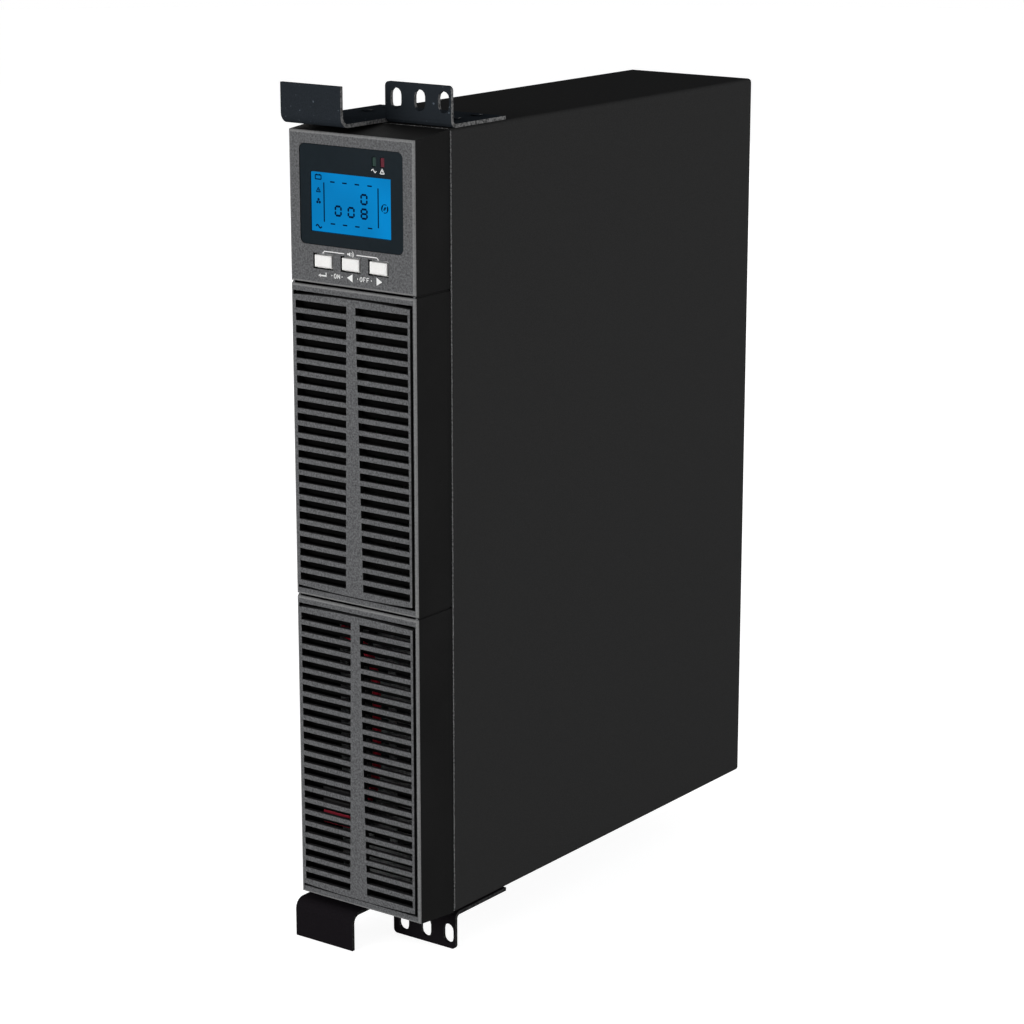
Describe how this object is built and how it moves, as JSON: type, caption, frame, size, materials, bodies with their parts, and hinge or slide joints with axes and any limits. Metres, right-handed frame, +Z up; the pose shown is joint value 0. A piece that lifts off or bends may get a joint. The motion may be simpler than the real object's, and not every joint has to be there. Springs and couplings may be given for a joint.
{
  "type": "uninterruptible power supply",
  "caption": "Slim black rack and tower uninterruptible power supply on its end, with a display, keys, louvred pull-off front covers, rack ears, rear sockets and a fan.",
  "frame": {"origin": "under the middle of the whole object, at the height of the lower rack ear's edge", "axes": "+Z up along the case's long side, +X across the front to its right seen from the front, +Y from the front to the back"},
  "size_m": [0.086, 0.342, 0.4826],
  "materials": {
    "black_paint": "fine black powder coat",
    "zinc_plate": "zinc plated sheet",
    "grey_plastic": "fine textured mid grey",
    "black_gloss": "glossy black",
    "blue_display": "lit blue display",
    "green_light": "dim green light",
    "red_light": "red light",
    "white_key": "white",
    "black_plastic": "moulded black",
    "board_green": "solder mask",
    "battery_grey": "battery case",
    "brass": "plain",
    "red_cable": "cable sleeve",
    "black_cable": "cable sleeve",
    "aluminium": "extruded",
    "copper_winding": "enamelled winding",
    "ferrite": "ferrite core",
    "capacitor_sleeve": "printed sleeve"
  },
  "bodies": {
    "case": {"cover_shell": "black_paint", "chassis_tray": "black_paint", "rear_panel": "black_paint", "upper_rack_ear": "black_paint", "lower_rack_ear": "black_paint", "card_slot_cover": "black_paint", "front_plate": "black_paint", "battery_door": "black_paint", "bay_divider": "zinc_plate", "battery_tray": "zinc_plate", "serial_port": "zinc_plate", "usb_port": "zinc_plate", "display_bezel": "grey_plastic", "battery_plug": "grey_plastic", "display_fascia": "black_gloss", "lcd_module": "blue_display", "mains_light_pipe": "green_light", "fault_light_pipe": "red_light", "battery_socket": "black_plastic", "relay_1": "black_plastic", "relay_2": "black_plastic", "fan_frame": "black_plastic", "inlet_socket": "black_plastic", "outlet_socket_1": "black_plastic", "outlet_socket_2": "black_plastic", "outlet_socket_3": "black_plastic", "outlet_socket_4": "black_plastic", "breaker_body": "black_plastic", "display_board": "board_green", "power_board": "board_green", "control_board": "board_green", "front_battery": "battery_grey", "rear_battery": "battery_grey", "battery_link": "brass", "positive_lead": "red_cable", "negative_lead": "black_cable", "lower_heat_sink": "aluminium", "upper_heat_sink": "aluminium", "boost_inductor": "copper_winding", "output_inductor": "copper_winding", "transformer": "ferrite", "bus_capacitor_1": "capacitor_sleeve", "bus_capacitor_2": "capacitor_sleeve", "bus_capacitor_3": "capacitor_sleeve", "bus_capacitor_4": "capacitor_sleeve"},
    "enter_key": {"enter_button": "white_key"},
    "previous_key": {"previous_button": "white_key"},
    "next_key": {"next_button": "white_key"},
    "fan": {"fan_rotor": "black_plastic"},
    "breaker": {"breaker_button": "black_plastic"},
    "upper_cover": {"upper_cover_frame": "grey_plastic", "upper_louvre_panel": "grey_plastic"},
    "lower_cover": {"lower_cover_frame": "grey_plastic", "lower_louvre_panel": "grey_plastic"}
  },
  "joints": [
    {"name": "enter_press", "type": "slide", "parent": "case", "child": "enter_key", "axis": [0, 1, 0], "range_m": [0, 0.0012], "stiffness_N_per_m": 900},
    {"name": "previous_press", "type": "slide", "parent": "case", "child": "previous_key", "axis": [0, 1, 0], "range_m": [0, 0.0012], "stiffness_N_per_m": 900},
    {"name": "next_press", "type": "slide", "parent": "case", "child": "next_key", "axis": [0, 1, 0], "range_m": [0, 0.0012], "stiffness_N_per_m": 900},
    {"name": "fan_spin", "type": "hinge", "parent": "case", "child": "fan", "pos_m": [0, 0.145, 0.4123], "axis": [0, 1, 0], "continuous": true},
    {"name": "breaker_trip", "type": "slide", "parent": "case", "child": "breaker", "axis": [0, 1, 0], "range_m": [0, 0.003]},
    {"name": "upper_cover_pull", "type": "slide", "parent": "case", "child": "upper_cover", "axis": [0, -1, 0], "range_m": [0, 0.02]},
    {"name": "lower_cover_pull", "type": "slide", "parent": "case", "child": "lower_cover", "axis": [0, -1, 0], "range_m": [0, 0.02]}
  ]
}
